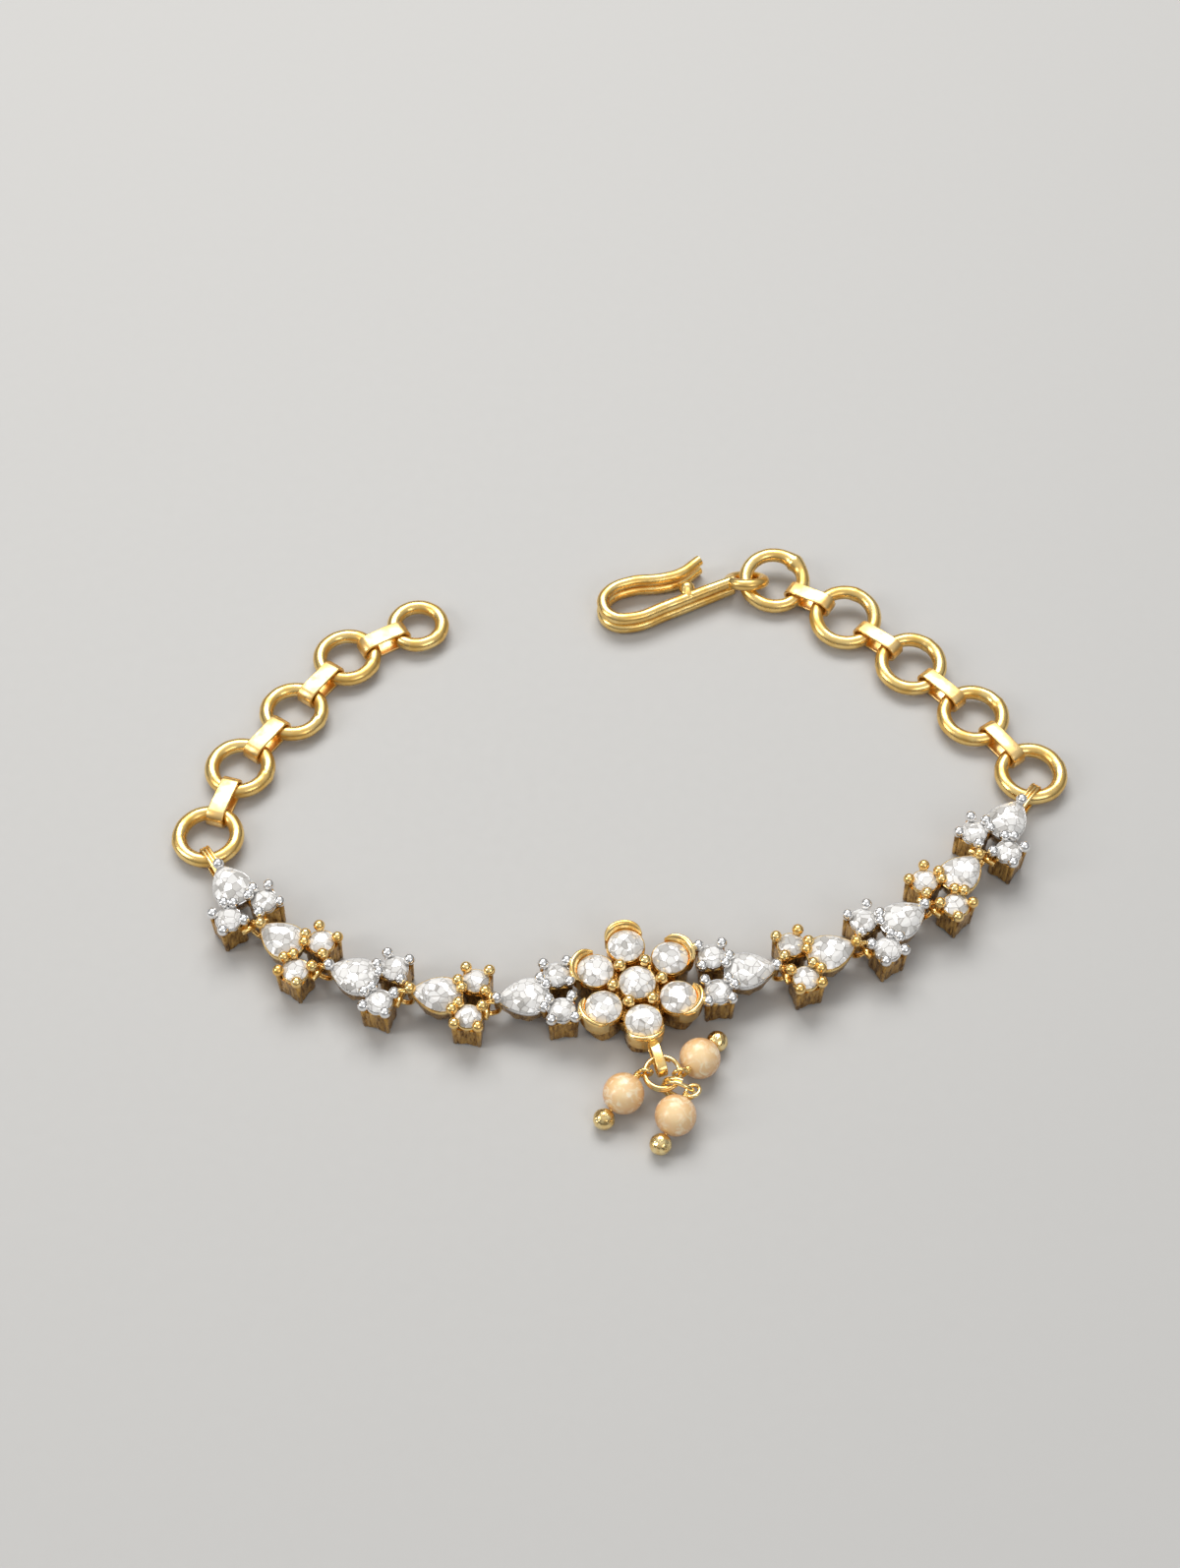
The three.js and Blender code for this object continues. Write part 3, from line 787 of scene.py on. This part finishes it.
# stones in a ring round one more, with a lip outside each, a bead between each two, and the drops' bail
flower = {
    "beadRing": 2.35,
    "beadStep": 30,  # degrees from a petal to the bead beside it
    "beadSize": 1.08,
    "crescent": {"inner": 1.86, "outer": 2.5, "span": 68, "low": 2.2, "top": 4.33, "dip": 0.55, "horn": 0.3},
    "web": {"radius": 3.9, "low": 0.35, "high": 1.9, "rim": 0.5, "sink": 0.4, "edge": 0.12},
    "bail": {"x": 1.25, "y": -5.6, "angle": 286, "length": 4.0, "width": 0.95, "thickness": 0.3,
             "height": 1.9, "middle": 2.45, "edge": 0.09, "sides": 28},
}
flowerAt = cadMiddle("centre_stone")
flowerAt.z = 0


def makeCrescent():
    # the raised lip on the outer side of a petal: thick in the middle, thin at its horns
    lip = flower["crescent"]
    inner, low, top = lip["inner"], lip["low"], lip["top"]
    full = lip["outer"] / inner
    middle = (1 + full) / 2
    # up the outside, over the rounded crest and down the inside
    levels = [
        (low, 1.0), (low, full * 0.95), (top - 0.5, full), (top - 0.12, full * 0.985),
        (top, (middle + full) / 2), (top - 0.02, middle), (top - 0.16, (1 + middle) / 2), (top - 0.42, 1.0),
    ]
    edit(wallRing(roundOutline(inner), levels, count=72))
    horn = math.radians(lip["span"])
    pick(lambda co: abs(math.atan2(co.y, co.x)) > horn)
    bpy.ops.mesh.delete(type="VERT")

    def drawIn(co):
        angle = math.atan2(co.y, co.x)
        reach = math.hypot(co.x, co.y)
        toHorn = abs(angle) / horn
        thin = max(lip["horn"], 1 - toHorn ** 4)
        newReach = inner + (reach - inner) * thin
        drop = lip["dip"] * toHorn ** 2 * (co.z - low) / (top - low)
        return Vector((newReach * math.cos(angle), newReach * math.sin(angle), co.z - drop))

    reshape(drawIn)
    bpy.ops.mesh.select_all(action="SELECT")
    bpy.ops.mesh.fill_holes(sides=0)
    return soften(closeUp(), 55)


def makeWeb():
    # the plate under the stones that holds the collets together, sunk inside its rim
    web = flower["web"]
    clearSelection()
    bpy.ops.mesh.primitive_cylinder_add(
        vertices=36, radius=web["radius"], depth=web["high"] - web["low"],
        location=(0, 0, (web["high"] + web["low"]) / 2))
    settle()
    edit()
    pick(lambda co: co.z > (web["high"] + web["low"]) / 2)
    bpy.ops.mesh.inset(thickness=web["rim"])
    bpy.ops.transform.translate(value=(0, 0, -web["sink"]))
    return bevelled(closeUp(), web["edge"], segments=2, degrees=40)


def makeStrip(shape, width, slide, at):
    # a flat strip closed on itself: a circle whose sides slide apart along X, drawn out across Y
    clearSelection()
    bpy.ops.mesh.primitive_circle_add(
        vertices=shape["sides"], radius=shape["height"] / 2, rotation=(math.pi / 2, 0, 0))
    settle()
    edit()
    reshape(lambda co: Vector((co.x + slide(co.x), co.y, co.z)))
    bpy.ops.mesh.extrude_region_move(TRANSFORM_OT_translate={"value": (0, width, 0)})
    bpy.ops.mesh.select_all(action="SELECT")
    bpy.ops.transform.translate(value=at)
    strip = modify(closeUp(), "SOLIDIFY", thickness=shape["thickness"], offset=-1)
    return bevelled(strip, shape["edge"], segments=3, degrees=45)


def makeBail():
    # starts at the origin and reaches out along X
    bail = flower["bail"]
    stretch = bail["length"] - bail["height"]
    return makeStrip(bail, bail["width"], lambda x: stretch if x > hair else 0,
                     (bail["height"] / 2, -bail["width"] / 2, bail["middle"]))


petalOutline = roundOutline(stones["petal"])
petalCollet = makeCollet(petalOutline, colletShape["notch"]["petal"], count=40)
petalRim = soften(wallRing(petalOutline, rimLevels["petal"], count=40), 50)
crescent, web, bailStrip = makeCrescent(), makeWeb(), makeBail()
flowerPlace = Matrix.Translation(flowerAt)
gold = finishes["clawGold"]
place(petalStone, "centreStone", flowerPlace, crystal, "stone", "centre_stone")
place(petalRim, "centreRim", flowerPlace, gold, "gold", "centre_setting")
place(petalCollet, "centreCollet", flowerPlace, castGold, "gold", "centre_setting")
place(web, "flowerWeb", flowerPlace, castGold, "gold", "centre_setting")
firstBead, beadStem = makeBead(), makeStem(stem["flower"])
bead = moved(firstBead, z=(1 - flower["beadSize"]) * claw["top"], size=flower["beadSize"])
throwAway(firstBead)
for number in range(1, 7):
    petalAt = cadMiddle(f"petal_stone_{number}")
    angle = math.atan2(petalAt.y - flowerAt.y, petalAt.x - flowerAt.x)
    where = Matrix.Translation((petalAt.x, petalAt.y, 0)) @ Matrix.Rotation(angle, 4, "Z")
    place(petalStone, f"petalStone{number}", where, crystal, "stone", f"petal_stone_{number}")
    place(petalRim, f"petalRim{number}", where, gold, "gold", "centre_setting")
    place(petalCollet, f"petalCollet{number}", where, castGold, "gold", "centre_setting")
    place(crescent, f"crescent{number}", where, gold, "gold", "centre_setting")
    beadWay = heading(math.degrees(angle) + flower["beadStep"])
    beadAt = Matrix.Translation(flowerAt + beadWay * flower["beadRing"] * millimetre)
    place(bead, f"flowerBead{number}", beadAt, gold, "gold", "centre_setting")
    place(beadStem, f"flowerStem{number}", beadAt, castGold, "gold", "centre_setting")
bail = flower["bail"]
bailPlace = flowerPlace @ Matrix.Translation(Vector((bail["x"], bail["y"], 0)) * millimetre)
bailPlace = bailPlace @ Matrix.Rotation(math.radians(bail["angle"]), 4, "Z")
place(bailStrip, "bail", bailPlace, gold, "gold", "centre_setting")
print("flower placed")

# round wire rings, joined by bands of flat strip
chain = {
    "wire": 1.54,
    "outer": {"left": (7.3, 7.3, 7.3, 7.3, 6.7), "right": (7.5, 7.6, 7.7, 7.8, 7.8)},
    # where each ring was closed, in radians, how wide the solder is there and how far it swells the wire
    "seams": {
        "left": [(3.4, 0.2, 1.06), (5.9, 0.22, 1.15), (5.8, 0.2, 1.14), (5.9, 0.2, 1.1), (5.7, 0.2, 1.08)],
        "right": [(0.3, 0.2, 1.05), (0.5, 0.2, 1.08), (0.9, 0.2, 1.08), (1.2, 0.2, 1.06), (0.75, 0.5, 1.36)],
    },
    "band": {"length": 5.72, "height": 2.38, "thickness": 0.3, "edge": 0.1, "sides": 32},
    "bandWidth": {"left": 1.8, "right": 1.5},
    "dents": {"size": 0.0016, "strength": 0.00009, "level": 0.75},  # in metres, as a placed ring is
}


def makeRing(outer, seamAt, seamReach, seamSwell):
    clearSelection()
    wire = chain["wire"]
    radius = (outer - wire) / 2
    bpy.ops.mesh.primitive_torus_add(
        major_segments=72, minor_segments=18, major_radius=radius, minor_radius=wire / 2)
    edit()

    def swell(co):
        angle = math.atan2(co.y, co.x)
        near = max(0.0, 1 - abs(math.remainder(angle - seamAt, 2 * math.pi)) / seamReach)
        line = Vector((math.cos(angle), math.sin(angle), 0)) * radius
        return line + (co - line) * (1 + (seamSwell - 1) * near ** 2)

    reshape(swell)
    return soften(closeUp(), 60)


def dent(piece):
    # slow unevenness of hand-closed wire, different on each ring because it reads the piece's place
    cloud = bpy.data.textures.get("dents") or bpy.data.textures.new("dents", "CLOUDS")
    cloud.noise_scale = chain["dents"]["size"]
    modify(piece, "DISPLACE", texture=cloud, strength=chain["dents"]["strength"],
           mid_level=chain["dents"]["level"], texture_coords="GLOBAL")


def makeBand(width):
    # its middle is at the origin
    band = chain["band"]
    half = (band["length"] - band["height"]) / 2
    return makeStrip(band, width, lambda x: math.copysign(half, x) if abs(x) > hair else 0,
                     (0, -width / 2, 0))


for side in ("left", "right"):
    band = makeBand(chain["bandWidth"][side])
    for number, outer in enumerate(chain["outer"][side], 1):
        ring = makeRing(outer, *chain["seams"][side][number - 1])
        node = f"{side}_ring_{number}"
        dent(place(ring, f"{side}Ring{number}", ringPlace(node), finishes["ringGold"], "gold", node))
        throwAway(ring)
        if number > 1:
            node = f"{side}_band_{number - 1}"
            where = bandPlace(node, f"{side}_ring_{number - 1}", f"{side}_ring_{number}")
            place(band, f"{side}Band{number - 1}", where, finishes["bandGold"], "gold", node)
    throwAway(band)
print("chain placed")

# two wires one on the other, with an eye for the last ring and a stop bead
hook = {
    "wire": 1.3,
    "heights": (0.66, 2.1),
    "ends": (0.9, 0.92),  # the wire's size at the eye and at the tip
    "eyeFromRing": 3.0,  # from the last ring's middle to the eye's
    "line": [(-1.5, -0.35), (-4.4, -1.75), (-8.7, -3.9), (-12.6, -5.6), (-14.6, -5.35), (-15.6, -3.6),
             (-15.0, -1.9), (-12.9, -0.65), (-9.0, -0.05), (-7.2, 0.6), (-5.1, 2.5)],
    "eye": {"wire": 1.25, "radius": 1.85, "tilt": -36, "height": 1.64},
    "knob": {"x": -6.5, "y": -1.5, "radius": 0.85, "stalkFrom": 0.4, "stalk": (0.2, -0.9, 0)},
}


def makeHook():
    parts = []
    radii = [1] * len(hook["line"])
    radii[0], radii[-1] = hook["ends"]
    for height in hook["heights"]:
        line = [Vector((x, y, height)) for x, y in hook["line"]]
        parts.append(drawWire(line, hook["wire"], steps=10, roundness=5, radii=radii))
    eye = hook["eye"]
    clearSelection()
    bpy.ops.mesh.primitive_torus_add(
        major_segments=48, minor_segments=16, major_radius=eye["radius"], minor_radius=eye["wire"] / 2,
        location=(0, 0, eye["height"]), rotation=(math.radians(eye["tilt"]), 0, 0))
    parts.append(settle())
    knob = hook["knob"]
    clearSelection()
    bpy.ops.mesh.primitive_uv_sphere_add(
        segments=24, ring_count=16, radius=knob["radius"],
        location=(knob["x"], knob["y"], hook["heights"][1]))
    settle()
    edit()
    pick(lambda co: co.y < knob["y"] - knob["radius"] * knob["stalkFrom"])
    bpy.ops.mesh.extrude_region_move(TRANSFORM_OT_translate={"value": knob["stalk"]})
    parts.append(closeUp())
    return soften(joinUp(parts), 60)


ringEnd = ringPlace("right_ring_5").translation
eyeAt = ringEnd - Vector((hook["eyeFromRing"] * millimetre, 0, 0))
hookPiece = makeHook()
place(hookPiece, "hookClasp", Matrix.Translation((eyeAt.x, eyeAt.y, 0)), finishes["ringGold"], "gold", "hook")
print("hook placed")

# Each drop is a pearl and a ball on a pin, which is wound round itself and ends in a loop.
drops = {
    "pearl": 1.95,
    "drill": {"from": 0.985, "sink": 0.93},
    "ball": 1.05,
    "hammer": {"share": 0.98, "depth": 0.02},
    "pin": 0.38,
    "neck": 0.42,
    "winding": {"turns": 2.25, "reach": 0.27, "wire": 0.2, "overlap": 0.02, "steps": 16},
    "loop": 0.64,
    "loopSteps": 12,
    "loopSet": 0.1,  # how far the loop starts back in the neck
    # angle is the way that each pin points from its loop; bend turns the loop sideways and roll about the pin
    "rows": {
        "left": {"angle": 230.5, "roll": -11.9, "bend": -46.3, "loopDrop": 0.11},
        "middle": {"angle": 240.4, "roll": 63.3, "bend": -42, "loopDrop": -0.01},
        "right": {"angle": 52.8, "roll": -9, "bend": -38.9, "loopDrop": 0.13},
    },
}


def makePearl():
    clearSelection()
    radius = drops["pearl"]
    bpy.ops.mesh.primitive_uv_sphere_add(
        segments=48, ring_count=32, radius=radius, rotation=(0, math.pi / 2, 0))
    settle()
    edit()
    pick(lambda co: abs(co.x) > radius * drops["drill"]["from"])  # the drilled ends sink in
    reshape(lambda co: Vector((co.x * drops["drill"]["sink"], co.y, co.z)), onlyPicked=True)
    return soften(closeUp(), 50)


def makeBall():
    clearSelection()
    hammer = drops["hammer"]
    bpy.ops.mesh.primitive_ico_sphere_add(subdivisions=4, radius=drops["ball"] * hammer["share"])
    edit()

    def strike(co):
        # uneven waves across the ball, out of step with one another
        dents = math.sin(5.1 * co.x + 1) * math.sin(4.7 * co.y) * math.sin(5.3 * co.z + 2)
        return co * (1 + hammer["depth"] * dents)

    reshape(strike)
    return soften(closeUp(), 60)


def makePin(row):
    # the wire runs from the ball through the pearl, is wound round itself and ends in its loop
    start, end = -drops["pearl"] - drops["ball"] * 0.5, drops["pearl"] + drops["neck"]
    shaft = drawWire([Vector((start, 0, 0)), Vector((0, 0, 0)), Vector((end, 0, 0))], drops["pin"])
    winding = drops["winding"]
    turns = []
    for i in range(winding["steps"] + 1):
        angle = 2 * math.pi * winding["turns"] * i / winding["steps"]
        along = drops["pearl"] - winding["overlap"] + drops["neck"] * i / winding["steps"]
        turns.append(Vector((along, winding["reach"] * math.cos(angle), winding["reach"] * math.sin(angle))))
    wound = drawWire(turns, winding["wire"], steps=4, roundness=2)
    points = []
    for i in range(drops["loopSteps"]):
        angle = 2 * math.pi * i / drops["loopSteps"]
        reach = drops["loop"] * (1 + math.cos(angle)) - drops["loopSet"]
        points.append(Vector((reach, 0, drops["loop"] * math.sin(angle) - row["loopDrop"])))
    loop = drawWire(points, drops["pin"], closed=True)
    bend = Matrix.Rotation(math.radians(row["bend"]), 4, "Z")
    roll = Matrix.Rotation(math.radians(row["roll"]), 4, "X")
    loop.data.transform(Matrix.Translation((end, 0, 0)) @ bend @ roll)
    return joinUp([shaft, wound, loop])


def dropPlace(name, row):
    # pearl and ball both lie on the floor, so the pin climbs from the smaller ball to the pearl
    points = cadPoints(f"pearl_{name}")
    climb = math.asin((drops["pearl"] - drops["ball"]) / (drops["pearl"] + drops["ball"]))
    turn = Matrix.Rotation(math.radians(row["angle"] + 180), 4, "Z") @ Matrix.Rotation(-climb, 4, "Y")
    return Matrix.Translation(Vector(points.mean(axis=0))) @ turn


pearlPiece, ball = makePearl(), makeBall()
ballStep = Matrix.Translation((-(drops["pearl"] + drops["ball"]) * millimetre, 0, 0))
for name, row in drops["rows"].items():
    where = dropPlace(name, row)
    pin = makePin(row)
    place(pearlPiece, f"{name}Pearl", where, nacre, "nacre", f"pearl_{name}")
    place(ball, f"{name}Ball", where @ ballStep, finishes["ballGold"], "gold", f"headpin_{name}")
    place(pin, f"{name}Pin", where, finishes["wireGold"], "gold", f"headpin_{name}")
    throwAway(pin)

# turns is where the wire starts and ends, and crossing how much of a turn it takes to change sides
jumpRing = {"radius": {"upper": 1.65, "lower": 1.54}, "wire": 0.42, "offset": 0.19, "turns": (0.17, 1.83),
            "crossing": 0.14, "steps": 32}


def makeJumpRing(radius):
    # wire closed in two turns side by side, which crosses over between its two ends
    start, end = jumpRing["turns"]
    points = []
    for i in range(jumpRing["steps"] + 1):
        turn = start + (end - start) * i / jumpRing["steps"]
        angle = 2 * math.pi * turn
        lift = jumpRing["offset"] * max(-1, min(1, (turn - 1) / jumpRing["crossing"]))
        points.append(Vector((radius * math.cos(angle), radius * math.sin(angle), lift)))
    return drawWire(points, jumpRing["wire"], steps=5)


for name, radius in jumpRing["radius"].items():
    node = f"jump_ring_{name}"
    coil = makeJumpRing(radius)
    place(coil, f"jumpRing{name}", ringPlace(node), finishes["wireGold"], "gold", node)
    throwAway(coil)
print("drops placed")

throwAway(petalStone, roundStone, pearStone, claws, stems, rims, basket, smallCollet, collets, rounds)
throwAway(bar, noseLoop, hoopLoop, petalCollet, petalRim, crescent, web, bailStrip, bead, beadStem)
throwAway(hookPiece, pearlPiece, ball)

stage = {
    "floorColour": (0.47, 0.465, 0.455),
    "floorRough": (0.55, 0.7),
    "floorGrain": 900.0,
    "floorSize": 8,
    "sky": (0.03, 0.75),  # strength along the horizon and overhead
    "backdrop": 0.245,
}


def makeFloor():
    clearSelection()
    bpy.ops.mesh.primitive_plane_add(size=stage["floorSize"])
    floor = bpy.context.object
    floor.name = "floor"
    material, tree, shader, coords = newMaterial("floorPaper")
    grain = addNode(tree, "ShaderNodeTexNoise", Scale=stage["floorGrain"], Detail=3.0)
    tree.links.new(coords.outputs["Object"], grain.inputs["Vector"])
    dress(tree, shader, {
        "Base Color": (*stage["floorColour"], 1),
        "Roughness": mapped(tree, grain.outputs["Fac"], target=stage["floorRough"]),
    })
    floor.data.materials.append(material)


def makeSky():
    # soft room light, brighter overhead than along the horizon; seen directly it is an even pale backdrop
    world = bpy.data.worlds.new("studio")
    bpy.context.scene.world = world
    world.use_nodes = True
    tree = world.node_tree
    background = tree.nodes["Background"]
    coords = tree.nodes.new("ShaderNodeTexCoord")
    split = tree.nodes.new("ShaderNodeSeparateXYZ")
    path = tree.nodes.new("ShaderNodeLightPath")
    seen = addNode(tree, "ShaderNodeMix")
    seen.inputs["B"].default_value = stage["backdrop"]
    tree.links.new(coords.outputs["Generated"], split.inputs["Vector"])
    tree.links.new(path.outputs["Is Camera Ray"], seen.inputs["Factor"])
    tree.links.new(mapped(tree, split.outputs["Z"], target=stage["sky"]), seen.inputs["A"])
    tree.links.new(seen.outputs["Result"], background.inputs["Strength"])
    background.inputs["Color"].default_value = (1, 1, 1, 1)


lamps = {
    "windowBack": {"at": (-0.05, 0.37, 0.52), "size": (0.5, 0.3), "power": 3.2, "colour": (1, 0.99, 0.97)},
    "windowLeft": {"at": (-0.5, -0.1, 0.34), "size": (0.16, 0.3), "power": 1.0, "colour": (1, 0.98, 0.95)},
    "fillFront": {"at": (0.3, -0.42, 0.42), "size": (0.3, 0.2), "power": 0.5, "colour": (0.97, 0.98, 1)},
}


def makeLamp(name, look):
    lamp = bpy.data.lights.new(name, "AREA")
    lamp.shape = "RECTANGLE"
    lamp.size, lamp.size_y = look["size"]
    lamp.energy = look["power"]
    lamp.color = look["colour"]
    holder = bpy.data.objects.new(name, lamp)
    bpy.context.scene.collection.objects.link(holder)
    holder.location = look["at"]
    holder.rotation_euler = (-Vector(look["at"])).to_track_quat("-Z", "Y").to_euler()


view = {
    "height": 0.1936,
    "elevation": 55,
    "aim": (-0.0045, 0.02545),
    "lens": 52.8,
    "sensor": 36,
    "near": 0.01,
}


def makeCamera():
    # looks down at the view's elevation, straight along +Y, at a point measured from the flower
    camera = bpy.data.objects.new("camera", bpy.data.cameras.new("camera"))
    bpy.context.scene.collection.objects.link(camera)
    back = view["height"] / math.tan(math.radians(view["elevation"]))
    aim = flowerAt + Vector((*view["aim"], 0))
    camera.location = aim + Vector((0, -back, view["height"]))
    camera.rotation_euler = (math.radians(90 - view["elevation"]), 0, 0)
    camera.data.lens = view["lens"]
    camera.data.sensor_width = view["sensor"]
    camera.data.clip_start = view["near"]
    bpy.context.scene.camera = camera


makeFloor()
makeSky()
for name, look in lamps.items():
    makeLamp(name, look)
makeCamera()
bpy.context.scene.view_settings.view_transform = "Standard"
print("stage set")
